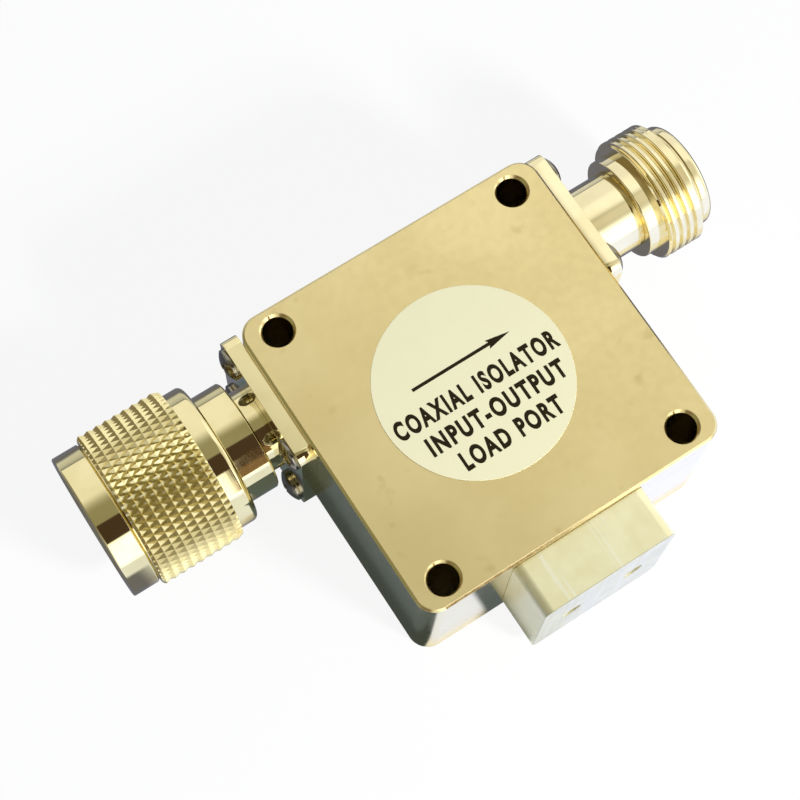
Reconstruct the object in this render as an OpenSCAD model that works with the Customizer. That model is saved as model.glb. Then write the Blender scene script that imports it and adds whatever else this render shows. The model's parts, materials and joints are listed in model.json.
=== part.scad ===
// Drop-in coaxial isolator with a plug at its input, a jack at its output and a load on its third port.
// The origin is the centre of the mounting face under the bottom cover.
// +X runs from the plug to the jack, +Z is the normal of the label face, and the load is on the -Y side.

/* [Housing] */
// Side length of the square housing
body_w = 40; // [40:0.5:42]
// Height of the housing with its bottom cover
body_h = 20; // [20:0.5:22]
// Radius of the four upright corners
corner_r = 2.5; // [1.5:0.25:2.5]
// Small edge break around the label face
edge_break = 0.3; // [0.1:0.05:0.5]
// Thickness of the bottom cover
cover_t = 1; // [1:0.1:1.2]
// Diameter of the round label
label_d = 23.2; // [16:0.2:24]
// Offset of the label from the middle of the face, along X
label_x = -0.7; // [-1:0.1:1]

/* [Mounting holes] */
// Spacing of the four through holes along X
hole_sx = 32; // [32:0.5:33]
// Spacing of the four through holes along Y
hole_sy = 34; // [33.5:0.25:34.5]
// Diameter of the through holes
hole_d = 3.5; // [3:0.1:3.6]

/* [Connector flanges] */
// Side length of the square connector flange
flange_w = 17.5; // [17:0.1:18]
// Thickness of the connector flange
flange_t = 2; // [1.8:0.1:2.4]
// Radius of the flange corners
flange_r = 1.6; // [0.8:0.1:2]
// Spacing of the flange screws
screw_s = 12.7; // [12.4:0.1:12.8]

/* [Plug] */
// Largest diameter of the coupling nut, over the knurl
nut_d = 19.7; // [19.4:0.1:19.8]
// Crests of the knurl around the nut
knurl_n = 64; // [48:2:70]
// Rows of the knurl along the nut
knurl_rows = 9; // [8:1:10]
// Depth of the knurl
knurl_h = 0.4; // [0.3:0.05:0.5]

/* [Jack] */
// Major diameter of the coupling thread
thread_d = 15.88; // [15.6:0.01:15.9]

/* [Load] */
// Depth of the load block in front of the housing
load_t = 6.4; // [6:0.1:8]
// Radius of the load block's edges
load_r = 1.2; // [0.5:0.1:1.5]
// Spacing of the two load screws
load_s = 8.6; // [8.4:0.1:9]

/* [Junction] */
// Diameter of the ferrite discs
ferrite_d = 22; // [20:0.5:22.5]
// Thickness of a ferrite disc
ferrite_t = 1.6; // [1.6:0.1:1.7]
// Diameter of the magnets and of their pocket in the roof
magnet_d = 26; // [25:0.5:26]
// Thickness of a magnet
magnet_t = 4; // [3.5:0.1:4]
// Thickness of the centre conductor
strip_t = 0.4; // [0.3:0.05:0.4]

/* [Hidden] */
$fn = 96;
eps = 0.01;
half = body_w / 2;
// Connector axis: flush flange on the +Y side, half way up
axis_y = half - flange_w / 2;
axis_z = body_h / 2;
// Screws with a 2 mm thread and their tapped holes
screw_r = 1;
head_r = 2;
head_h = 1.15;
clear_r = 1.15;
bite = 1.8;
cover_screw_x = 17.6;
cover_screw_y = 10.5;
cover_screw_l = 4.5;
// Cavity of the junction
cavity_r = 17.5;
disc_r = cavity_r - 0.1;
pole_t = 1;
roof_t = 2.5;
channel = 2 * ferrite_t + strip_t;
roof_z = body_h - roof_t;
step_z = axis_z + channel / 2;
floor_z = axis_z - channel / 2;
magnet_r = magnet_d / 2;
upper_comp_t = roof_z - step_z - pole_t - magnet_t;
lower_magnet_z = floor_z - pole_t - magnet_t;
lower_comp_t = 0.7;
clamp_z = lower_magnet_z - lower_comp_t;
spacer_r = 14;
// Feed-through of each port
feed_r = 1.75;
feed_l = 4.5;
pin_r = 0.5;
pin_l = 9;
slot_l = 2.8;
// Line inside both connectors
line_r = 3.5;
core_r = 1.52;
grip_r = 1;
mate_pin_r = 0.825;
// Plug, in distance from the housing's face
neck_r = 5.2;
plug_neck_end = flange_t + 2.1;
hub_r = 6.95;
hub_end = 12;
groove_z = 10.7;
groove_w = 0.7;
groove_r = 6.1;
sleeve_r = 4;
sleeve_end = 22.9;
plug_line_z = 5;
plug_bead_end = 11;
plug_core_end = 17.5;
plug_tip_end = 21.8;
gasket_t = 1.8;
// Coupling nut, in distance from the housing's face
nut_run = 0.07;
nut_rear = 8.05;
nut_front = 24.9;
nut_r = nut_d / 2;
root_r = nut_r - knurl_h;
knurl_start = 10.6;
knurl_end = 21.3;
rear_lip_r = 8.9;
rear_round = 0.65;
front_lip_r = 9.15;
nut_thread_r = thread_d / 2 - 0.5;
nut_groove_r = 7.9;
nut_groove_z = 10.5;
nut_groove_end = 11.7;
// Jack, in distance from the housing's face
jack_neck_r = 5.1;
jack_neck_end = 8.75;
collar_r = 6.55;
collar_end = 10.7;
shoulder_r = 7.5;
thread_z = 11.2;
thread_end = 15.5;
lip_r = 6.7;
lip_z = 16.3;
jack_front = 17.9;
mouth_r = 4.06;
mouth_depth = 9.1;
mate_plane = jack_front - mouth_depth;
jack_line_z = 3;
jack_bead_end = 6.5;
contact_end = 13.3;
contact_bore = 5.5;
// Load
load_w = flange_w;
load_pocket_w = 4.6;
load_pocket_h = 7;
load_pocket_t = 1.6;
chip_t = 1;
load_screw_r = 0.8;
load_clear_r = 0.9;
load_head_r = 1.2;
load_head_h = 1.3;
load_sink_r = 1.3;
load_sink_t = 1.6;
load_bite = 2.4;

// Colours, as the object shows them
gold = [0.85, 0.78, 0.55];
pale_gold = [0.9, 0.83, 0.6];
cream = [0.93, 0.9, 0.72];
label_cream = [0.94, 0.92, 0.8];
steel = [0.62, 0.62, 0.6];
dark_steel = [0.35, 0.35, 0.36];
white = [0.95, 0.95, 0.93];
silver = [0.82, 0.82, 0.84];
rubber = [0.75, 0.2, 0.15];
ceramic = [0.25, 0.2, 0.18];

// Square outline with round corners
module rounded_square(w, r) {
    square([w - 2 * r, w], center = true);
    square([w, w - 2 * r], center = true);
    for (sx = [-1, 1], sy = [-1, 1])
        translate([sx * (w / 2 - r), sy * (w / 2 - r)])
            circle(r);
}

// Children at the four corners of a rectangle
module at_corners(sx, sy) {
    for (mx = [-1, 1], my = [-1, 1])
        translate([mx * sx / 2, my * sy / 2, 0])
            children();
}

// Places with z as the distance out of the housing's -X, +X and -Y faces
module at_plug() {
    translate([-half, axis_y, axis_z])
        rotate([0, -90, 0])
            children();
}
module at_jack() {
    translate([half, axis_y, axis_z])
        rotate([0, 90, 0])
            children();
}
module at_load() {
    translate([0, -half, axis_z])
        rotate([90, 0, 0])
            children();
}

// Waste of a small edge break around the top of a rounded square block
module edge_waste(w, top, r, c) {
    reach = w / 2;
    for (a = [0:90:270])
        rotate([0, 0, a])
            translate([0, reach, top])
                rotate([45, 0, 0])
                    cube([w - 2 * r, c * sqrt(2), c * sqrt(2)], center = true);
    for (a = [0:90:270])
        rotate([0, 0, a])
            translate([reach - r, reach - r, 0])
                intersection() {
                    rotate_extrude()
                        polygon([[r - c, top], [r + 1, top - c - 1], [r + 1, top + 1], [r - c, top + 1]]);
                    translate([0, 0, top - 2])
                        cube([r + 2, r + 2, 4]);
                }
}

// Round-headed screw with a cross recess: z = 0 is the seat, the head is above and the thread below
module pan_screw(shank) {
    difference() {
        union() {
            translate([0, 0, -shank])
                cylinder(r = screw_r, h = shank + eps);
            intersection() {
                cylinder(r = head_r, h = head_h);
                translate([0, 0, head_h - 3.2])
                    sphere(3.2);
            }
        }
        cross_recess(head_h, 2.2);
    }
}

// Cross recess cut down from the height z
module cross_recess(z, size) {
    for (a = [0, 90])
        rotate([0, 0, a])
            translate([-size / 2, -0.2, z - 0.6])
                cube([size, 0.4, 1]);
}

// Square flange with its four screw holes
module flange_plate() {
    difference() {
        linear_extrude(flange_t)
            rounded_square(flange_w, flange_r);
        at_corners(screw_s, screw_s)
            translate([0, 0, -1])
                cylinder(r = clear_r, h = flange_t + 2);
    }
}

// Soft magnetic housing: one block, bored from below, with ports in three sides
module housing() {
    color(gold)
        difference() {
            translate([0, 0, cover_t])
                linear_extrude(body_h - cover_t)
                    rounded_square(body_w, corner_r);
            edge_waste(body_w, body_h, corner_r, edge_break);
            translate([0, 0, -1])
                cylinder(r = cavity_r, h = step_z + 1);
            translate([0, 0, -1])
                cylinder(r = magnet_r, h = roof_z + 1);
            at_corners(hole_sx, hole_sy)
                mounting_hole();
            at_corners(2 * cover_screw_x, 2 * cover_screw_y)
                cylinder(r = screw_r, h = cover_screw_l + 0.3);
            at_plug()
                port_waste();
            at_jack()
                port_waste();
            at_load()
                load_port_waste();
        }
}

// Through hole with a bright countersunk rim
module mounting_hole() {
    rim = 0.35;
    translate([0, 0, -1])
        cylinder(d = hole_d, h = body_h + 2);
    translate([0, 0, body_h - rim])
        cylinder(d1 = hole_d, d2 = hole_d + 4 * rim, h = 2 * rim);
}

// Feed-through bore and tapped holes behind a connector
module port_waste() {
    translate([0, 0, -pin_l])
        cylinder(r = feed_r, h = pin_l + 1);
    at_corners(screw_s, screw_s)
        translate([0, 0, -bite - 0.05])
            cylinder(r = screw_r, h = bite + 1);
}

// Feed-through bore and tapped holes behind the load
module load_port_waste() {
    translate([0, 0, -feed_l])
        cylinder(r = feed_r, h = feed_l + 1);
    for (s = [-1, 1])
        translate([s * load_s / 2, 0, -load_bite - 0.05])
            cylinder(r = load_screw_r, h = load_bite + 1);
}

// Cover plate under the housing
module bottom_cover() {
    color(gold)
        difference() {
            linear_extrude(cover_t)
                rounded_square(body_w, corner_r);
            at_corners(hole_sx, hole_sy)
                translate([0, 0, -1])
                    cylinder(d = hole_d, h = cover_t + 2);
            at_corners(2 * cover_screw_x, 2 * cover_screw_y)
                countersunk_form(cover_t + 1);
        }
}

// Cone and shank of a countersunk screw whose head is flush with z = 0
module countersunk_form(l) {
    translate([0, 0, -eps])
        cylinder(r1 = 1.8 + eps, r2 = screw_r, h = 0.8 + eps);
    cylinder(r = screw_r, h = l);
}

module cover_screws() {
    color(steel)
        at_corners(2 * cover_screw_x, 2 * cover_screw_y)
            difference() {
                intersection() {
                    countersunk_form(cover_screw_l);
                    cylinder(r = 3, h = body_h);
                }
                mirror([0, 0, 1])
                    cross_recess(0, 1.8);
            }
}

// Thin printed disc on the top face
module label() {
    color(label_cream)
        translate([label_x, 0, body_h])
            cylinder(d = label_d, h = 0.1);
}

// Plug: flange, neck, hub that carries the nut, and outer contact, turned from one bar
module plug_shell() {
    color(pale_gold)
        at_plug()
            difference() {
                union() {
                    flange_plate();
                    rotate_extrude()
                        polygon([[0, flange_t - 0.5], [neck_r, flange_t - 0.5], [neck_r, plug_neck_end],
                                 [hub_r - 0.2, plug_neck_end], [hub_r, plug_neck_end + 0.2],
                                 [hub_r, groove_z], [groove_r, groove_z],
                                 [groove_r, groove_z + groove_w], [hub_r, groove_z + groove_w],
                                 [hub_r, hub_end - 0.2], [hub_r - 0.2, hub_end],
                                 [sleeve_r, hub_end], [sleeve_r, sleeve_end - 0.6],
                                 [sleeve_r - 0.15, sleeve_end], [0, sleeve_end]]);
                }
                translate([0, 0, -1])
                    cylinder(r = feed_r, h = plug_line_z + 2);
                translate([0, 0, plug_line_z])
                    cylinder(r = line_r, h = sleeve_end);
            }
}

module plug_screws() {
    color(steel)
        at_plug()
            at_corners(screw_s, screw_s)
                translate([0, 0, flange_t])
                    pan_screw(flange_t + bite);
}

// Insulator with a thin tail through the flange and the housing wall
module bead(line_z, end) {
    difference() {
        union() {
            translate([0, 0, -feed_l])
                cylinder(r = feed_r, h = feed_l + line_z + eps);
            translate([0, 0, line_z])
                cylinder(r = line_r, h = end - line_z);
        }
        translate([0, 0, -feed_l - 1])
            cylinder(r = pin_r, h = feed_l + end + 2);
        translate([0, 0, line_z + 1])
            cylinder(r = grip_r, h = end);
    }
}

module plug_bead() {
    color(white)
        at_plug()
            bead(plug_line_z, plug_bead_end);
}

// Slot in the inner end of a pin, for the centre conductor's tip
module tip_slot() {
    translate([-strip_t / 2, -2, -pin_l - 1])
        cube([strip_t, 4, slot_l + 1]);
}

// Male pin, stepped where the bead holds it
module plug_pin() {
    color(pale_gold)
        at_plug()
            difference() {
                rotate_extrude()
                    polygon([[0, -pin_l], [pin_r, -pin_l], [pin_r, plug_line_z + 1],
                             [grip_r, plug_line_z + 1], [grip_r, plug_bead_end],
                             [core_r, plug_bead_end], [core_r, plug_core_end - 0.3],
                             [core_r - 0.3, plug_core_end], [mate_pin_r, plug_core_end],
                             [mate_pin_r, plug_tip_end - 1], [mate_pin_r / 2, plug_tip_end - 0.2],
                             [0, plug_tip_end]]);
                tip_slot();
            }
}

// Open spring ring that keeps the nut on the hub
module nut_ring() {
    color(silver)
        at_plug()
            translate([0, 0, groove_z + 0.05])
                difference() {
                    cylinder(r = nut_groove_r - 0.15, h = groove_w - 0.1);
                    translate([0, 0, -1])
                        cylinder(r = groove_r, h = 3);
                    translate([0, -0.75, -1])
                        cube([10, 1.5, 3]);
                }
}

// Weather seal on the shoulder around the outer contact
module nut_gasket() {
    color(rubber)
        at_plug()
            translate([0, 0, hub_end])
                difference() {
                    cylinder(r = hub_r - 0.25, h = gasket_t);
                    translate([0, 0, -1])
                        cylinder(r = sleeve_r, h = gasket_t + 2);
                }
}

// Band of diamond crests: every other point of the grid is a crest, the rest are roots
module knurl_band(z0, z1, r_root, r_crest, r_in, n, rows) {
    cols = 2 * n;
    step = (z1 - z0) / rows;
    function radius(i, k) = i == 0 || i == rows ? r_root : (i + k) % 2 == 0 ? r_crest : r_root;
    function spot(i, k) = let (a = 360 * k / cols, r = radius(i, k)) [r * cos(a), r * sin(a), z0 + i * step];
    function inner(k, z) = let (a = 360 * k / cols) [r_in * cos(a), r_in * sin(a), z];
    function id(i, k) = i * cols + (k % cols);
    low = (rows + 1) * cols;
    high = low + cols;
    points = concat([for (i = [0:rows], k = [0:cols - 1]) spot(i, k)],
                    [for (k = [0:cols - 1]) inner(k, z0)],
                    [for (k = [0:cols - 1]) inner(k, z1)]);
    // Each cell is split along the line that joins its two roots
    cells = [for (i = [0:rows - 1], k = [0:cols - 1])
                let (a = id(i, k), b = id(i, k + 1), c = id(i + 1, k + 1), d = id(i + 1, k))
                each (i + k) % 2 == 0 ? [[a, d, b], [b, d, c]] : [[a, c, b], [a, d, c]]];
    ends = [for (k = [0:cols - 1])
                let (m = (k + 1) % cols)
                each [[low + k, id(0, k), id(0, m)], [low + k, id(0, m), low + m],
                      [high + k, id(rows, m), id(rows, k)], [high + k, high + m, id(rows, m)]]];
    bore = [for (k = [0:cols - 1])
                let (m = (k + 1) % cols)
                each [[low + k, low + m, high + m], [low + k, high + m, high + k]]];
    polyhedron(points, concat(cells, ends, bore), convexity = 4);
}

// Coupling nut: knurled barrel with smooth lips, free to turn on the hub
module coupling_nut() {
    color(pale_gold)
        at_plug() {
            rotate_extrude()
                polygon([[hub_r + nut_run, nut_rear], [rear_lip_r - rear_round, nut_rear],
                         [rear_lip_r - 0.3 * rear_round, nut_rear + 0.3 * rear_round],
                         [rear_lip_r, nut_rear + rear_round], [rear_lip_r, knurl_start],
                         [root_r - 0.05, knurl_start], [root_r - 0.05, knurl_end],
                         [front_lip_r - 0.35, knurl_end], [front_lip_r - 0.35, knurl_end + 0.25],
                         [front_lip_r, knurl_end + 0.5], [front_lip_r, nut_front - 0.5],
                         [front_lip_r - 0.15, nut_front - 0.15], [front_lip_r - 0.5, nut_front],
                         [nut_thread_r + 0.6, nut_front], [nut_thread_r, nut_front - 0.6],
                         [nut_thread_r, nut_groove_end], [nut_groove_r, nut_groove_end],
                         [nut_groove_r, nut_groove_z], [hub_r + nut_run, nut_groove_z]]);
            knurl_band(knurl_start, knurl_end, root_r, nut_r, root_r - 0.5, knurl_n, knurl_rows);
        }
}

// Jack: flange, neck, collar, threaded barrel and smooth lip, turned from one bar
module jack_shell() {
    color(pale_gold)
        at_jack()
            difference() {
                union() {
                    flange_plate();
                    rotate_extrude()
                        polygon([[0, flange_t - 0.5], [jack_neck_r, flange_t - 0.5],
                                 [jack_neck_r, jack_neck_end - 0.35],
                                 [jack_neck_r - 0.15, jack_neck_end - 0.25],
                                 [jack_neck_r - 0.15, jack_neck_end], [collar_r - 0.15, jack_neck_end],
                                 [collar_r, jack_neck_end + 0.15], [collar_r, collar_end],
                                 [shoulder_r - 0.15, collar_end], [shoulder_r, collar_end + 0.1],
                                 [thread_d / 2, thread_z], [thread_d / 2, thread_end],
                                 [lip_r - 0.15, lip_z - 0.05], [lip_r - 0.15, lip_z + 0.1],
                                 [lip_r, lip_z + 0.25], [lip_r, jack_front - 0.7],
                                 [lip_r - 0.2, jack_front - 0.25], [lip_r - 0.6, jack_front],
                                 [0, jack_front]]);
                }
                translate([0, 0, -1])
                    cylinder(r = feed_r, h = jack_line_z + 2);
                translate([0, 0, jack_line_z])
                    cylinder(r = line_r, h = jack_front);
                translate([0, 0, mate_plane])
                    cylinder(r = mouth_r, h = mouth_depth + 1);
                translate([0, 0, jack_front - 0.7])
                    cylinder(r1 = mouth_r, r2 = mouth_r + 1.4, h = 1.4);
            }
}

module jack_screws() {
    color(steel)
        at_jack()
            at_corners(screw_s, screw_s)
                translate([0, 0, flange_t])
                    pan_screw(flange_t + bite);
}

module jack_bead() {
    color(white)
        at_jack()
            bead(jack_line_z, jack_bead_end);
}

// Female contact: a bored and slit tube on a stepped pin
module jack_contact() {
    slit = 0.3;
    color(pale_gold)
        at_jack()
            difference() {
                rotate_extrude()
                    polygon([[0, -pin_l], [pin_r, -pin_l], [pin_r, jack_line_z + 1],
                             [grip_r, jack_line_z + 1], [grip_r, jack_bead_end],
                             [core_r, jack_bead_end], [core_r, contact_end - 0.3],
                             [core_r - 0.25, contact_end], [0, contact_end]]);
                tip_slot();
                translate([0, 0, contact_end - contact_bore])
                    cylinder(r = mate_pin_r + 0.02, h = contact_bore + 1);
                translate([0, 0, contact_end - 0.2])
                    cylinder(r1 = mate_pin_r, r2 = mate_pin_r + 0.4, h = 0.4);
                for (a = [0, 90])
                    rotate([0, 0, a])
                        translate([-2, -slit / 2, contact_end - contact_bore + 1])
                            cube([4, slit, contact_bore]);
            }
}

// Load block: solid heat sink with a pocket for the chip in its back face
module load_block() {
    color(cream)
        at_load()
            difference() {
                linear_extrude(load_t)
                    rounded_square(load_w, load_r);
                translate([-load_pocket_w / 2, -load_pocket_h / 2, -1])
                    cube([load_pocket_w, load_pocket_h, load_pocket_t + 1]);
                for (s = [-1, 1])
                    translate([s * load_s / 2, 0, 0]) {
                        translate([0, 0, -1])
                            cylinder(r = load_clear_r, h = load_t + 2);
                        translate([0, 0, load_t - load_sink_t])
                            cylinder(r = load_sink_r, h = load_sink_t + 1);
                    }
            }
}

module load_screws() {
    color(steel)
        at_load()
            for (s = [-1, 1])
                translate([s * load_s / 2, 0, load_t - load_sink_t])
                    difference() {
                        union() {
                            translate([0, 0, -load_t + load_sink_t - load_bite])
                                cylinder(r = load_screw_r, h = load_t + load_bite - load_sink_t + eps);
                            cylinder(r = load_head_r, h = load_head_h);
                        }
                        translate([-load_head_r, -0.2, load_head_h - 0.5])
                            cube([2 * load_head_r, 0.4, 1]);
                    }
}

module load_bead() {
    color(white)
        at_load()
            translate([0, 0, -(half - cavity_r) + 0.05])
                difference() {
                    cylinder(r = feed_r, h = half - cavity_r - 0.05);
                    translate([0, 0, -1])
                        cylinder(r = pin_r, h = 6);
                }
}

// Pin from the conductor's third arm to the chip
module load_pin() {
    inner = 5.8;
    color(silver)
        at_load()
            difference() {
                translate([0, 0, -inner])
                    cylinder(r = pin_r, h = inner + load_pocket_t - chip_t);
                translate([-2, -strip_t / 2, -inner - 1])
                    cube([4, strip_t, 3.3]);
            }
}

// Film resistor on a ceramic plate, soldered to the floor of the pocket
module load_chip() {
    chip_w = 3.6;
    chip_h = 6;
    color(white)
        at_load()
            translate([-chip_w / 2, -chip_h / 2, load_pocket_t - chip_t])
                cube([chip_w, chip_h, chip_t]);
}

// Straight flat bar between two points
module bar(a, b, w) {
    d = b - a;
    translate(a)
        rotate(atan2(d.y, d.x))
            translate([0, -w / 2])
                square([norm(d), w]);
}

// Y-shaped conductor: resonator disc with three arms, the two connector arms bent towards their pins
module centre_conductor() {
    arm_w = 3;
    tip_w = 2;
    knee = [10.2, 5.8];
    knee_r = 1.9;
    tip = [half - pin_l + 1.1, axis_y + 0.3];
    load_tip = [0, -half + 3.6];
    color(silver)
        translate([0, 0, axis_z - strip_t / 2])
            linear_extrude(strip_t) {
                circle(7.5);
                for (s = [-1, 1]) {
                    bar([0, 0], [s * knee.x, knee.y], arm_w);
                    translate([s * knee.x, knee.y])
                        circle(knee_r);
                    bar([s * knee.x, knee.y], [s * tip.x, tip.y], tip_w);
                }
                bar([0, 0], [0, -12], arm_w);
                bar([0, -12], load_tip, tip_w);
            }
}

module disc(r, z, t) {
    translate([0, 0, z])
        cylinder(r = r, h = t);
}

module spacer(z) {
    translate([0, 0, z])
        difference() {
            cylinder(r = spacer_r, h = ferrite_t);
            translate([0, 0, -1])
                cylinder(d = ferrite_d, h = ferrite_t + 2);
        }
}

module upper_ferrite() {
    color(ceramic)
        disc(ferrite_d / 2, axis_z + strip_t / 2, ferrite_t);
}
module lower_ferrite() {
    color(ceramic)
        disc(ferrite_d / 2, floor_z, ferrite_t);
}
module upper_spacer() {
    color(white)
        spacer(axis_z + strip_t / 2);
}
module lower_spacer() {
    color(white)
        spacer(floor_z);
}
module upper_pole() {
    color(steel)
        disc(magnet_r - 0.1, step_z, pole_t);
}
module lower_pole() {
    color(steel)
        disc(disc_r, floor_z - pole_t, pole_t);
}
module upper_magnet() {
    color(dark_steel)
        disc(magnet_r - 0.1, step_z + pole_t, magnet_t);
}
module lower_magnet() {
    color(dark_steel)
        disc(magnet_r - 0.1, lower_magnet_z, magnet_t);
}
// Ring that centres the lower magnet in the wider bore
module magnet_ring() {
    color(cream)
        translate([0, 0, lower_magnet_z])
            difference() {
                cylinder(r = disc_r, h = magnet_t);
                translate([0, 0, -1])
                    cylinder(r = magnet_r, h = magnet_t + 2);
            }
}
// Thin nickel-steel shunts that steady the field over temperature
module upper_compensator() {
    color(silver)
        disc(magnet_r - 0.1, roof_z - upper_comp_t, upper_comp_t);
}
module lower_compensator() {
    color(silver)
        disc(disc_r, clamp_z, lower_comp_t);
}
// Plate that presses the stack together against the cover
module clamp_plate() {
    color(steel)
        disc(disc_r, cover_t, clamp_z - cover_t);
}

housing();
bottom_cover();
cover_screws();
label();
plug_shell();
plug_screws();
plug_bead();
plug_pin();
nut_ring();
nut_gasket();
coupling_nut();
jack_shell();
jack_screws();
jack_bead();
jack_contact();
load_block();
load_screws();
load_bead();
load_pin();
load_chip();
centre_conductor();
upper_ferrite();
lower_ferrite();
upper_spacer();
lower_spacer();
upper_pole();
lower_pole();
upper_magnet();
lower_magnet();
magnet_ring();
upper_compensator();
lower_compensator();
clamp_plate();
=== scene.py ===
# Finishes, fine forms, light and camera for the coaxial isolator
import json
import math

import bmesh
import bpy
from mathutils import Matrix, Vector


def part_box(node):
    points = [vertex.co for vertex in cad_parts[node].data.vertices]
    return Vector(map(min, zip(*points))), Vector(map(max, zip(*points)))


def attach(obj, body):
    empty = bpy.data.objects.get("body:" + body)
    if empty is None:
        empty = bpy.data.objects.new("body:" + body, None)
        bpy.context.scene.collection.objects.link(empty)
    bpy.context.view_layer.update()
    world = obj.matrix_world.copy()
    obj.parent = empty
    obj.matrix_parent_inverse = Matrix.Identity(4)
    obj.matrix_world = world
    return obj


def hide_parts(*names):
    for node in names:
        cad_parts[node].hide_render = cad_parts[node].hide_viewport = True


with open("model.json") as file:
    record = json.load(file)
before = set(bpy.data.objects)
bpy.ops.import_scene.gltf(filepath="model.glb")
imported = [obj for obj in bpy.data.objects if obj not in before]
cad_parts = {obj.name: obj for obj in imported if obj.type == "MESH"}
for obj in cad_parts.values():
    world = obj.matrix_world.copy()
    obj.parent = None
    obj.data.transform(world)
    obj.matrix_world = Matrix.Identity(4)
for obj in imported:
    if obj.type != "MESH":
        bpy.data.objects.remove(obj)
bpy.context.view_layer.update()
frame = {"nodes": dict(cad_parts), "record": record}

MM = 0.001
NODES = frame["nodes"]
FULL_TURN = 2 * math.pi

# Points closer than MERGE are one; faces that meet below FLAT are one; an edge above SHARP stays hard
MERGE = 1e-7
FLAT = math.radians(0.3)
SHARP = math.radians(28)
SHARP_SOFTENED = math.radians(40)

# Places that the other pieces are set out from
HOUSING_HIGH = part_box("housing")[1]
LABEL_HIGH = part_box("label")[1]
LOAD_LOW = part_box("load_block")[0]
NUT_LOW, NUT_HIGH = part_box("coupling_nut")
AXIS = Vector((0, (NUT_LOW.y + NUT_HIGH.y) / 2, (NUT_LOW.z + NUT_HIGH.z) / 2))
FACE = HOUSING_HIGH.x
PLUG, JACK = -1, 1


def srgb(red, green, blue):
    """Linear colour of an 8-bit screen colour"""
    def linear(v):
        v /= 255
        return v / 12.92 if v <= 0.04045 else ((v + 0.055) / 1.055) ** 2.4
    return (linear(red), linear(green), linear(blue), 1)


# Shader expressions

class Value:
    """A socket whose arithmetic adds Math nodes"""

    def __init__(self, tree, socket):
        self.tree = tree
        self.socket = socket

    def math(self, operation, first, second):
        return self.tree.node("Math", {"operation": operation}, {0: first, 1: second})

    def __add__(self, other):
        return self.math("ADD", self, other)

    def __sub__(self, other):
        return self.math("SUBTRACT", self, other)

    def __rsub__(self, other):
        return self.math("SUBTRACT", other, self)

    def __mul__(self, other):
        return self.math("MULTIPLY", self, other)

    __radd__ = __add__
    __rmul__ = __mul__

    def highest(self, other):
        return self.math("MAXIMUM", self, other)

    def step(self, low, high, start=0, end=1):
        """Smooth step from start, where the value is low, to end, where it is high"""
        sockets = {"Value": self, "From Min": low, "From Max": high, "To Min": start, "To Max": end}
        return self.tree.node("MapRange", {"interpolation_type": "SMOOTHSTEP"}, sockets)

    def between(self, low, high, fade):
        """1 from low to high, 0 past the fade"""
        return self.step(low - fade, low) * self.step(high, high + fade, 1, 0)


class Tree:
    """The node tree of a material or of the world"""

    def __init__(self, block):
        block.use_nodes = True
        self.nodes = block.node_tree.nodes
        self.links = block.node_tree.links
        self.nodes.clear()

    def node(self, kind, settings=None, sockets=None, output=0):
        """Adds a node: its settings first, then the values or links of its sockets"""
        made = self.nodes.new("ShaderNode" + kind)
        for name, value in (settings or {}).items():
            setattr(made, name, value)
        for name, value in (sockets or {}).items():
            if isinstance(value, Value):
                self.links.new(value.socket, made.inputs[name])
            else:
                made.inputs[name].default_value = value
        return Value(self, made.outputs[output]) if made.outputs else None

    def mix(self, factor, low, high):
        """Colour low where the factor is 0, high where it is 1"""
        return self.node("Mix", {"data_type": "RGBA"}, {0: factor, 6: low, 7: high}, output=2)

    def noise(self, scale, detail, stretch=(1, 1, 1)):
        """Noise on object coordinates, scale in cycles per metre"""
        place = self.node("TexCoord", output=3)
        place = self.node("Mapping", None, {"Vector": place, "Scale": stretch})
        return self.node("TexNoise", None, {"Vector": place, "Scale": scale, "Detail": detail})

    def patchy(self, low, high, scale, detail, stretch=(1, 1, 1)):
        """Value that wanders from low to high and back over the surface"""
        return self.noise(scale, detail, stretch).step(0.3, 0.7, low, high)

    def place(self, axis):
        """Object coordinate along an axis, 0 to 2 for X to Z"""
        return self.node("SeparateXYZ", None, {"Vector": self.node("TexCoord", output=3)}, output=axis)

    def bump(self, height, distance):
        """Normal of a surface that rises by the distance in mm where the height is 1"""
        return self.node("Bump", None, {"Height": height, "Distance": distance * MM})

    def light_path(self):
        """1 for rays from the camera, and 1 for mirrored rays"""
        return self.node("LightPath"), self.node("LightPath", output=3)


def material(name, **surface):
    """Material of one Principled shader; a value or a function of the tree goes to each socket"""
    made = bpy.data.materials.new(name)
    tree = Tree(made)
    sockets = {socket.replace("_", " "): value(tree) if callable(value) else value
               for socket, value in surface.items()}
    shader = tree.node("BsdfPrincipled", None, sockets)
    tree.node("OutputMaterial", None, {"Surface": shader})
    return made


# Finishes

ALONG_X = (1, 0.02, 0.02)


def housing_plating():
    """Pale gold plating with faint stains, satin on the top and smoother on the milled sides"""
    def colour(tree):
        cloud = tree.noise(70, 4).step(0.35, 0.65)
        stain = tree.noise(330, 2).step(0.63, 0.8) * 0.45
        plain = tree.mix(cloud, srgb(230, 211, 151), srgb(238, 220, 161))
        return tree.mix(stain, plain, srgb(200, 178, 118))

    def rough(tree):
        top = tree.place(2).step(HOUSING_HIGH.z - 0.1 * MM, HOUSING_HIGH.z - 0.05 * MM)
        return tree.patchy(0.12, 0.18, 900, 3) + top * 0.18
    return material("housing_plating", Metallic=1, Base_Color=colour, Roughness=rough)


def bright_plating(name, light, dark):
    """Bright pale gold plating of the turned pieces, with faint turning lines"""
    return material(
        name, Metallic=1,
        Base_Color=lambda tree: tree.mix(tree.noise(240, 3).step(0.35, 0.7), light, dark),
        Roughness=lambda tree: tree.patchy(0.03, 0.05, 600, 3),
        Normal=lambda tree: tree.bump(tree.noise(5000, 1, ALONG_X), 0.0002))


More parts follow.
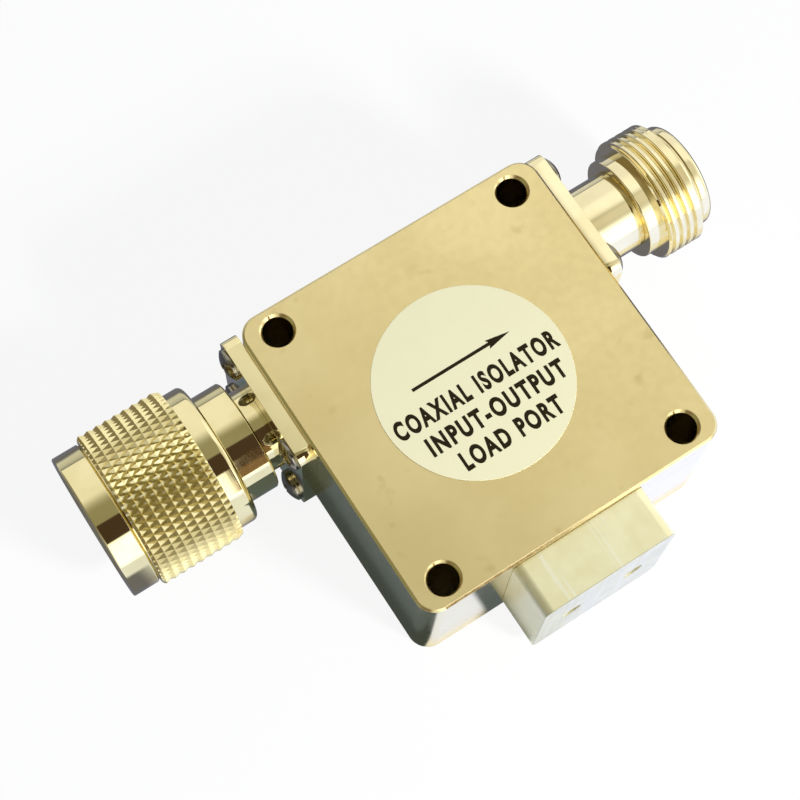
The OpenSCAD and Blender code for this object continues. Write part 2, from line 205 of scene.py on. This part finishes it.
def knurl_plating():
    """The same plating where the knurling tool has left it a little rougher"""
    return material(
        "knurl_plating", Metallic=1,
        Base_Color=lambda tree: tree.mix(tree.noise(700, 2), srgb(240, 228, 174), srgb(228, 214, 156)),
        Roughness=lambda tree: tree.patchy(0.2, 0.265, 2500, 2))


def screw_steel():
    return material(
        "screw_steel", Metallic=1,
        Base_Color=lambda tree: tree.mix(tree.noise(1200, 2), srgb(168, 163, 144), srgb(122, 118, 104)),
        Roughness=lambda tree: tree.patchy(0.14, 0.24, 2600, 2),
        Normal=lambda tree: tree.bump(tree.noise(4000, 2), 0.005))


def load_coating():
    """Pale yellow conversion coat over milled aluminium, greyer on the front face as painted shade"""
    def colour(tree):
        cloud = tree.noise(400, 2).step(0.3, 0.7)
        streak = tree.noise(900, 2, (1, 0.04, 0.04)).step(0.6, 0.68) * 0.6
        plain = tree.mix(cloud, srgb(247, 241, 198), srgb(240, 233, 186))
        milled = tree.mix(streak, plain, srgb(250, 248, 224))
        # Painted shade: the front face gets a greyer copy of the coat, standing in for the light that
        # reaches it less
        painted_front_shade = tree.mix(cloud, srgb(200, 195, 158), srgb(190, 186, 152))
        front = tree.place(1).step(LOAD_LOW.y + 0.06 * MM, LOAD_LOW.y + 0.12 * MM, 1, 0)
        return tree.mix(front, milled, painted_front_shade)
    return material(
        "load_coating", Metallic=0.6, Base_Color=colour,
        Roughness=lambda tree: tree.patchy(0.30, 0.40, 1500, 2, (1, 0.05, 0.05)),
        Normal=lambda tree: tree.bump(tree.noise(2600, 3, ALONG_X), 0.002))


def label_film():
    return material(
        "label_film",
        Base_Color=lambda tree: tree.mix(tree.noise(300, 3), srgb(247, 242, 201), srgb(243, 237, 195)),
        Roughness=lambda tree: tree.patchy(0.34, 0.44, 1500, 2),
        Normal=lambda tree: tree.bump(tree.noise(2400, 2), 0.004))


def label_ink():
    return material(
        "label_ink",
        Base_Color=lambda tree: tree.mix(tree.noise(2500, 3), srgb(26, 20, 4), srgb(38, 30, 8)),
        Specular_IOR_Level=0.15,
        Roughness=lambda tree: tree.patchy(0.4, 0.55, 3000, 2))


def even_finish(name, light, dark, rough, metallic, grain, spread, depth):
    """A finish of one grain all over, whose roughness varies by the spread either way"""
    return material(
        name, Metallic=metallic,
        Base_Color=lambda tree: tree.mix(tree.noise(grain, 3), light, dark),
        Roughness=lambda tree: tree.patchy(rough * (1 - spread), rough * (1 + spread), grain * 1.7, 2),
        Normal=lambda tree: tree.bump(tree.noise(grain * 2, 2), depth))


def plain_metal(name, light, dark, rough):
    """Inner metal pieces and contacts"""
    return even_finish(name, light, dark, rough, metallic=1, grain=1500, spread=0.2, depth=0.004)


def plain_solid(name, light, dark, rough):
    """Plastics, rubber and ceramics"""
    return even_finish(name, light, dark, rough, metallic=0, grain=1200, spread=0.15, depth=0.006)


JACK_PLATING = bright_plating("jack_plating", srgb(243, 231, 186), srgb(235, 221, 172))
KNURL_PLATING = knurl_plating()
LABEL_INK = label_ink()

SLOT_FINISH = {
    "gold_plated_steel": housing_plating(),
    "plated_brass": bright_plating("bright_plating", srgb(242, 229, 176), srgb(233, 219, 163)),
    "screw_steel": screw_steel(),
    "chromated_aluminium": load_coating(),
    "label_film": label_film(),
    "contact_gold": plain_metal("contact_gold", srgb(240, 208, 120), srgb(222, 184, 96), 0.18),
    "ring_aluminium": plain_metal("ring_aluminium", srgb(214, 214, 214), srgb(196, 196, 198), 0.3),
    "spring_steel": plain_metal("spring_steel", srgb(204, 200, 190), srgb(176, 172, 162), 0.2),
    "silvered_strip": plain_metal("silvered_strip", srgb(232, 232, 234), srgb(208, 208, 212), 0.2),
    "pole_steel": plain_metal("pole_steel", srgb(176, 176, 174), srgb(150, 150, 150), 0.32),
    "magnet": plain_metal("magnet", srgb(104, 104, 108), srgb(82, 82, 86), 0.4),
    "shunt_alloy": plain_metal("shunt_alloy", srgb(196, 196, 192), srgb(170, 170, 166), 0.28),
    "fluoropolymer": plain_solid("fluoropolymer", srgb(240, 240, 236), srgb(230, 230, 226), 0.4),
    "silicone_rubber": plain_solid("silicone_rubber", srgb(178, 62, 44), srgb(158, 50, 36), 0.6),
    "load_ceramic": plain_solid("load_ceramic", srgb(238, 236, 226), srgb(224, 222, 210), 0.5),
    "ferrite": plain_solid("ferrite", srgb(74, 68, 66), srgb(54, 50, 50), 0.5),
    "spacer_ceramic": plain_solid("spacer_ceramic", srgb(232, 228, 214), srgb(218, 214, 200), 0.5),
}


def dress_frame():
    """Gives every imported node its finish"""
    for part in frame["record"]["subparts"]:
        node = NODES[part["node"]]
        node.data.materials.clear()
        node.data.materials.append(SLOT_FINISH[part["material_slot"]])


# Pieces

def finished(bm, name, finishes, body, nodes, smooth=SHARP):
    """Makes an object of a bmesh, in place, and sets it on its body"""
    mesh = bpy.data.meshes.new(name)
    bm.to_mesh(mesh)
    bm.free()
    for finish in finishes:
        mesh.materials.append(finish)
    mesh.shade_smooth()
    mesh.set_sharp_from_angle(angle=smooth)
    piece = bpy.data.objects.new(name, mesh)
    bpy.context.scene.collection.objects.link(piece)
    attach(piece, body)
    if nodes:
        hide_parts(*nodes)
    return piece


def clean(bm):
    bmesh.ops.remove_doubles(bm, verts=bm.verts, dist=MERGE)
    bmesh.ops.recalc_face_normals(bm, faces=bm.faces)


def everything(bm):
    return list(bm.verts) + list(bm.edges) + list(bm.faces)


def add(bm, other):
    """Adds the forms of another bmesh, and frees it"""
    mesh = bpy.data.meshes.new("added")
    other.to_mesh(mesh)
    other.free()
    bm.from_mesh(mesh)
    bpy.data.meshes.remove(mesh)


def copied(node):
    """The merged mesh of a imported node"""
    bm = bmesh.new()
    bm.from_mesh(NODES[node].data)
    bmesh.ops.remove_doubles(bm, verts=bm.verts, dist=MERGE)
    bmesh.ops.dissolve_limit(bm, angle_limit=FLAT, verts=bm.verts, edges=bm.edges)
    return bm


def round_edges(bm, width):
    """Rounds every sharp edge"""
    edges = [e for e in bm.edges if len(e.link_faces) == 2 and e.calc_face_angle(0) > SHARP]
    bmesh.ops.bevel(bm, geom=edges, offset=width * MM, offset_type="OFFSET", segments=3, profile=0.5,
                    affect="EDGES", clamp_overlap=True, material=-1)


def softened(node, width, name, slot):
    """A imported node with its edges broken, in its own place; its flat faces stay flat beside them"""
    bm = copied(node)
    round_edges(bm, width)
    piece = finished(bm, name, [SLOT_FINISH[slot]], "isolator", [node], SHARP_SOFTENED)
    modifier = piece.modifiers.new("flat_faces", "WEIGHTED_NORMAL")
    modifier.keep_sharp = True
    modifier.weight = 80


# Turned pieces

ARC_STEPS = 5
TURN_STEPS = 128


def arc(before, corner, after, radius):
    """Points that round a corner of an outline"""
    a, b = (before - corner).normalized(), (after - corner).normalized()
    half_angle = a.angle(b) / 2
    reach = radius / math.tan(half_angle)
    centre = corner + (a + b).normalized() * (radius / math.sin(half_angle))
    start, end = corner + a * reach - centre, corner + b * reach - centre
    turn = start.angle_signed(end)
    return [centre + Matrix.Rotation(-turn * i / ARC_STEPS, 2) @ start for i in range(ARC_STEPS + 1)]


def outline(points):
    """Closed outline in mm from (distance, radius) points; a third number rounds that corner

    A point close beside a rounding keeps the surface beyond it evenly shaded.
    """
    corners = [Vector(p[:2]) for p in points]
    made = []
    for i, p in enumerate(points):
        if len(p) == 3:
            made += arc(corners[i - 1], corners[i], corners[(i + 1) % len(points)], p[2])
        else:
            made.append(corners[i])
    return made


def at_axis(side, distance, radius, angle=0):
    """Point at a distance in mm out of the housing's face, round the connector axis"""
    return Vector((side * (FACE + distance * MM), AXIS.y - radius * MM * math.sin(angle),
                   AXIS.z + radius * MM * math.cos(angle)))


def from_axis(v):
    """Foot of a point on the connector axis, and the way from there to the point"""
    foot = Vector((v.co.x, AXIS.y, AXIS.z))
    return foot, v.co - foot


def set_radius(v, radius):
    foot, way = from_axis(v)
    v.co = foot + way.normalized() * radius * MM


def turned(side, points):
    """A closed outline turned round the connector axis"""
    bm = bmesh.new()
    verts = [bm.verts.new(at_axis(side, *p)) for p in outline(points)]
    edges = [bm.edges.new((verts[i - 1], verts[i])) for i in range(len(verts))]
    bmesh.ops.spin(bm, geom=verts + edges, cent=AXIS, axis=(1, 0, 0), dvec=(0, 0, 0), angle=FULL_TURN,
                   steps=TURN_STEPS, use_merge=True, use_duplicate=False)
    return bm


# Coupling nut

KNURL_AROUND = 64
KNURL_ROWS = 9
KNURL_FROM, KNURL_TO = 10.6, 21.3
KNURL_DEPTH = 0.45
KNURL_TIP = 0.06
KNURL_CHAMFER = 0.3
NUT_RADIUS = 9.85


def knurl():
    """The diamond knurl: a grid whose corners are in turn crests and crossings of the grooves"""
    rows = KNURL_ROWS + 2
    around = 2 * KNURL_AROUND
    pitch = (KNURL_TO - KNURL_FROM) / KNURL_ROWS
    overhang = 1.3
    bm = bmesh.new()
    verts = bmesh.ops.create_grid(bm, x_segments=rows, y_segments=around, size=0.5)["verts"]
    place = {v: (round((v.co.x + 0.5) * rows), round((v.co.y + 0.5) * around)) for v in verts}
    crests = [v for v in verts if sum(place[v]) % 2]
    for f in list(bm.faces):
        bmesh.utils.face_split(f, *[v for v in f.verts if v not in crests])
    for v, (row, step) in place.items():
        radius = NUT_RADIUS if v in crests else NUT_RADIUS - KNURL_DEPTH
        v.co = at_axis(PLUG, KNURL_FROM + pitch * (row - overhang), radius, FULL_TURN * step / around)
    bmesh.ops.bevel(bm, geom=crests, offset=KNURL_TIP * MM, offset_type="OFFSET", segments=1, profile=0.5,
                    affect="VERTICES", clamp_overlap=True, material=-1)
    bmesh.ops.remove_doubles(bm, verts=bm.verts, dist=0.002 * MM)
    trim_ends(bm)
    close_inside(bm)
    for f in bm.faces:
        f.material_index = 1
    return bm


def trim_ends(bm):
    """Cuts the knurl square at both ends and chamfers its crests there"""
    for outward, end in ((1, KNURL_FROM), (-1, KNURL_TO)):
        for inset in (0, KNURL_CHAMFER):
            where = at_axis(PLUG, end + outward * inset, 0)
            bmesh.ops.bisect_plane(bm, geom=everything(bm), plane_co=where, plane_no=(outward, 0, 0),
                                   clear_outer=inset == 0, dist=MERGE)
    for v in bm.verts:
        distance = (-v.co.x - FACE) / MM
        radius = from_axis(v)[1].length / MM
        room = min(distance - KNURL_FROM, KNURL_TO - distance)
        if room < KNURL_CHAMFER / 2:
            set_radius(v, min(radius, NUT_RADIUS - 0.7 * KNURL_DEPTH))


def close_inside(bm):
    """Adds end walls and an inner wall, which lie inside the nut's body"""
    depth = 0.5
    walls = bmesh.ops.extrude_edge_only(bm, edges=[e for e in bm.edges if e.is_boundary])["geom"]
    for v in walls:
        if isinstance(v, bmesh.types.BMVert):
            set_radius(v, NUT_RADIUS - KNURL_DEPTH - depth)
    rims = [e for e in walls if isinstance(e, bmesh.types.BMEdge) and e.is_boundary]
    bmesh.ops.bridge_loops(bm, edges=rims)


def coupling_nut():
    """Body turned from its outline, with a plain bore, and the knurl round it"""
    back, front = 8.05, 24.9
    neck, bore, groove = 7.02, 7.44, 7.9
    ring, core, lip = 8.9, 9.3, 9.15
    body = turned(PLUG, [
        (back, neck, 0.12), (back, ring, 0.65), (8.8, ring), (10.75, ring), (10.75, core), (21.15, core),
        (21.15, 8.85), (21.4, 8.85), (21.65, lip, 0.12), (21.85, lip), (24.6, lip), (front, lip, 0.22),
        (front, 8.2, 0.15), (24.2, bore), (11.7, bore), (11.7, groove), (10.5, groove), (10.5, neck)])
    bm = knurl()
    add(bm, body)
    clean(bm)
    finishes = [SLOT_FINISH["plated_brass"], KNURL_PLATING]
    finished(bm, "knurled_nut", finishes, "nut", ["coupling_nut"])


# Jack

THREAD_PITCH = 1.058
THREAD_STEPS = 26
THREAD_FROM, THREAD_TO = 10.6, 15.0
THREAD_CREST, THREAD_ROOT = 7.94, 7.4


def evenly(start, end, radius, gap):
    """Points of one radius, close enough together for a thread"""
    count = round((end - start) / gap)
    return [(start + (end - start) * i / count, radius) for i in range(count + 1)]


def cut_thread(bm):
    """Cuts the right-handed thread into the turned surface of the crest's radius"""
    tolerance = 0.001
    offset, fade = 0.135, 0.3
    root_share, flank_share = 0.05, 0.6
    for v in bm.verts:
        distance = (v.co.x - FACE) / MM
        way = from_axis(v)[1]
        if abs(way.length / MM - THREAD_CREST) > tolerance or not THREAD_FROM <= distance <= THREAD_TO:
            continue
        turn = math.atan2(-way.y, way.z) / FULL_TURN
        phase = (v.co.x / MM / THREAD_PITCH - turn + offset) % 1
        flank = min(1, max(0, (abs(2 * phase - 1) - root_share) / flank_share))
        flank *= flank * (3 - 2 * flank)
        room = min(1, (distance - THREAD_FROM) / fade, (THREAD_TO - distance) / fade)
        set_radius(v, THREAD_CREST + (THREAD_ROOT - THREAD_CREST) * (1 - flank) * room)


def jack_body():
    """Flange as packed, up to a cut through the neck; neck, collar, threaded barrel and lip turned anew"""
    cut, front = 2.3, 17.9
    neck, collar, lip = 5.1, 6.55, 6.7
    line, step, mouth = 1.75, 3.5, 4.06
    crests = evenly(10.95, 15.5, THREAD_CREST, THREAD_PITCH / THREAD_STEPS)
    barrel = turned(JACK, [
        (cut, line), (cut, neck), (8.4, neck), (8.5, 4.95), (8.75, 4.95), (8.75, collar, 0.15), (9, collar),
        (10.7, collar), (10.7, 7.65, 0.12), *crests, (16.25, collar), (16.4, collar), (16.55, lip, 0.08),
        (16.7, lip), (17.1, lip), (front, lip, 0.7), (front, 4.76, 0.15), (17.2, mouth), (8.8, mouth),
        (8.8, step), (3, step), (3, line)])
    cut_thread(barrel)
    bm = copied("jack_shell")
    bmesh.ops.bisect_plane(bm, geom=everything(bm), plane_co=(FACE + cut * MM, 0, 0), plane_no=(1, 0, 0),
                           clear_outer=True, dist=MERGE)
    bmesh.ops.bridge_loops(bm, edges=[e for e in bm.edges if e.is_boundary])
    round_edges(bm, 0.1)
    add(bm, barrel)
    clean(bm)
    finished(bm, "jack_body", [JACK_PLATING], "isolator", ["jack_shell"])


# Label

PRINT_LIFT = 0.006
PRINT_DEPTH = 0.014
LETTER_HEIGHT = 2.4


def on_label(x, y):
    return Vector((x * MM, y * MM, LABEL_HIGH.z + PRINT_LIFT * MM))


def arrow():
    """Direction arrow: a thin shaft and a slim head with a hollow back"""
    tail, neck, barb, tip = -7.14, 3.25, 3.0, 6.01
    line = 2.77
    shaft, head = 0.19, 0.55
    corners = [(tail, -shaft), (neck, -shaft), (barb, -head), (tip, 0),
               (barb, head), (neck, shaft), (tail, shaft)]
    bm = bmesh.new()
    face = bm.faces.new([bm.verts.new(on_label(x, line + y)) for x, y in corners])
    raised = bmesh.ops.extrude_face_region(bm, geom=[face])["geom"]
    bmesh.ops.translate(bm, verts=[g for g in raised if isinstance(g, bmesh.types.BMVert)],
                        vec=(0, 0, PRINT_DEPTH * MM))
    clean(bm)
    finished(bm, "label_arrow", [LABEL_INK], "isolator", [])


def words(name, text, left, right, base):
    """One line of plain words, in bold spaced letters, fitted to its place on the label"""
    curve = bpy.data.curves.new(name, "FONT")
    curve.body = text
    curve.offset = 0.045
    curve.space_character = 1.28
    curve.extrude = 0.02
    shape = bpy.data.objects.new(name, curve)
    bpy.context.scene.collection.objects.link(shape)
    bpy.context.view_layer.update()
    flat = bpy.data.meshes.new_from_object(shape)
    bpy.data.objects.remove(shape)
    bm = bmesh.new()
    bm.from_mesh(flat)
    bpy.data.meshes.remove(flat)
    low = Vector([min(v.co[i] for v in bm.verts) for i in range(3)])
    high = Vector([max(v.co[i] for v in bm.verts) for i in range(3)])
    size = Vector((right - left, LETTER_HEIGHT, PRINT_DEPTH)) * MM
    for v in bm.verts:
        part = [(v.co[i] - low[i]) / (high[i] - low[i]) * size[i] for i in range(3)]
        v.co = on_label(left, base) + Vector(part)
    clean(bm)
    finished(bm, name, [LABEL_INK], "isolator", [])


# Studio

FLOOR_REACH = 3

# Share of plain white in what the camera sees of the floor; the rest is lit and shadowed
FLOOR_WHITE = 0.9

# What the plating mirrors of the room: direction, inner and outer angle of the patch in degrees, light
ROOM = {
    "front window": ((0.15, -0.93, 0.34), 14, 33, (2.2, 2.2, 2.2)),
    "right window": ((0.96, -0.27, 0.02), 12, 28, (1.8, 1.8, 1.8)),
    "olive haze": ((-0.03, -0.2, 0.98), 14, 38, (0.33, 0.32, 0.22)),
    "ceiling light": ((0.55, 0.25, 0.79), 12, 30, (1.22, 1.22, 1.22)),
    "brown side": ((-0.95, 0.25, 0.1), 56, 76, (0.24, 0.2, 0.13)),
    "olive side": ((-1, 0.1, 0.2), 10, 30, (0.3, 0.3, 0.2)),
    "pale patch": ((0.42, -0.3, 0.86), 7, 18, (0.8, 0.76, 0.66)),
}
DARK_PATCH = ((-0.02, -0.53, 0.85), 14, 17, (0.07, 0.045, 0.03))


def floor():
    """Pale floor that keeps the shadow and is nearly white to the camera

    The plating mirrors a painted pool of light in front and painted shadow strips round the housing. Their
    zones are in mm from the housing's middle: low, high and fade, along X and across.
    """
    bm = bmesh.new()
    bmesh.ops.create_grid(bm, x_segments=1, y_segments=1, size=FLOOR_REACH)
    mesh = bpy.data.meshes.new("floor")
    bm.to_mesh(mesh)
    bm.free()
    finish = bpy.data.materials.new("floor")
    tree = Tree(finish)
    camera_ray, glossy_ray = tree.light_path()
    along, across = tree.place(0), tree.place(1)

    def strip(value, low, high, fade):
        return value.between(low * MM, high * MM, fade * MM)

    def glow(*colour):
        return tree.node("Emission", None, {"Color": (*colour, 1), "Strength": 1})

    def over(base, factor, layer):
        return tree.node("MixShader", None, {0: factor, 1: base, 2: layer})

    under = strip(along, -20, 20, 1) * strip(across, -20, 20, 1)
    # Painted shadow: dim strips behind and beside the object, where its shadow falls, seen only by mirrored
    # rays
    painted_shadow_behind = strip(across, 5, 45, 6)
    painted_shadow_beside = strip(along, -120, -43, 4) * strip(across, -25, 45, 15)
    # Painted shade: darker strips at the housing's foot, darkest right at the wall, and beside the load
    # block, seen by mirrored rays
    foot = strip(along, -26, -19.5, 0.5) * strip(across, -26, 20, 1)
    painted_contact_shade = strip(along, -21.2, -19.5, 0.5) * strip(across, -21, 20, 1)
    gap = strip(along, -10.2, -4, 1) * strip(across, -25, -20, 1)
    front = across.step(-8 * MM, -3 * MM, 1, 0)
    # Painted light: a brighter, glowing pool of floor in front, seen only by mirrored rays
    painted_front_glow = over(glow(0.92, 1.0, 1.25), along.step(-9 * MM, 2 * MM), glow(1.05, 1.16, 1.7))
    mirrored = glossy_ray * (1 - under)

    seen = tree.node("BsdfDiffuse", None, {"Color": (0.9, 0.9, 0.9, 1)})
    seen = over(seen, mirrored * front, painted_front_glow)
    seen = over(seen, mirrored * painted_shadow_behind.highest(painted_shadow_beside), glow(0.165, 0.172, 0.24))
    seen = over(seen, glossy_ray * foot.highest(gap), glow(0.11, 0.14, 0.16))
    seen = over(seen, glossy_ray * painted_contact_shade, glow(0.06, 0.075, 0.075))
    seen = over(seen, camera_ray * FLOOR_WHITE, glow(1, 1, 1))
    tree.node("OutputMaterial", None, {"Surface": seen})
    mesh.materials.append(finish)
    plane = bpy.data.objects.new("floor", mesh)
    bpy.context.scene.collection.objects.link(plane)


def sky():
    """Even light, white to the camera; the plating mirrors the soft patches of a room in it"""
    world = bpy.data.worlds.new("studio")
    bpy.context.scene.world = world
    tree = Tree(world)
    camera_ray, glossy_ray = tree.light_path()
    direction = tree.node("TexCoord")
    x, y, z = [tree.node("SeparateXYZ", None, {"Vector": direction}, output=i) for i in range(3)]

    def patch(base, towards, inner, outer, light):
        """Lays a round patch over base, full within the inner angle and gone past the outer one"""
        facing = tree.node("VectorMath", {"operation": "DOT_PRODUCT"},
                           {0: direction, 1: Vector(towards).normalized()}, output=1)
        soft = facing.step(math.cos(math.radians(outer)), math.cos(math.radians(inner)))
        return tree.mix(soft, base, (*light, 1))

    reflected = (1, 1, 1, 1)
    for seen in ROOM.values():
        reflected = patch(reflected, *seen)

    # A brown card, darker at its top, placed so that the hub mirrors it and the nut doesn't
    card = x.between(0.096, 0.24, 0.003) * y.step(-0.1, 0, 1, 0) * z.between(0.1, 0.75, 0.04)
    shade = tree.mix(z.step(0.3, 0.5), (0.24, 0.145, 0.08, 1), (0.09, 0.055, 0.033, 1))
    reflected = tree.mix(card, reflected, shade)

    reflected = patch(reflected, *DARK_PATCH)
    colour = tree.mix(glossy_ray, (0.22, 0.24, 0.28, 1), reflected)
    colour = tree.mix(camera_ray, colour, (1, 1, 1, 1))
    shader = tree.node("Background", None, {"Color": colour, "Strength": 1})
    tree.node("OutputWorld", None, {"Surface": shader})


def key_lamp():
    """Small round lamp in front, which no surface mirrors"""
    place = Vector((0.18, -0.43, 0.29))
    light = bpy.data.lights.new("key", "AREA")
    light.shape = "DISK"
    light.size = 0.12
    light.energy = 4.2
    made = bpy.data.objects.new("key", light)
    made.location = place
    made.rotation_euler = (-place).to_track_quat("-Z", "Y").to_euler()
    made.visible_glossy = False
    bpy.context.scene.collection.objects.link(made)


def camera():
    """The photograph's view: the axes of the camera and its place in mm"""
    right = Vector((0.83756, -0.54575, 0.02571))
    up = Vector((0.51253, 0.80114, 0.30900))
    back = Vector((-0.18924, -0.24563, 0.95071))
    place = Vector((-49.92, -50.66, 226.26)) * MM
    data = bpy.data.cameras.new("camera")
    data.sensor_width = 36
    data.lens = 87.3
    data.clip_start = 0.01
    made = bpy.data.objects.new("camera", data)
    made.matrix_world = Matrix.Translation(place) @ Matrix((right, up, back)).transposed().to_4x4()
    bpy.context.scene.collection.objects.link(made)
    bpy.context.scene.camera = made


dress_frame()
softened("housing", 0.12, "housing_body", "gold_plated_steel")
softened("bottom_cover", 0.08, "cover_plate", "gold_plated_steel")
softened("plug_shell", 0.12, "plug_body", "plated_brass")
softened("plug_screws", 0.06, "plug_flange_screws", "screw_steel")
softened("jack_screws", 0.06, "jack_flange_screws", "screw_steel")
softened("load_block", 0.1, "load_heatsink", "chromated_aluminium")
softened("load_screws", 0.05, "load_slot_screws", "screw_steel")
softened("label", 0.03, "label_disc", "label_film")
coupling_nut()
jack_body()
arrow()
words("label_line_1", "COAXIAL ISOLATOR", -11.5, 10.1, -1.75)
words("label_line_2", "INPUT-OUTPUT", -9.3, 8.9, -5.15)
words("label_line_3", "LOAD PORT", -7.02, 6.2, -8.5)

floor()
sky()
key_lamp()
camera()
bpy.context.scene.view_settings.view_transform = "Standard"
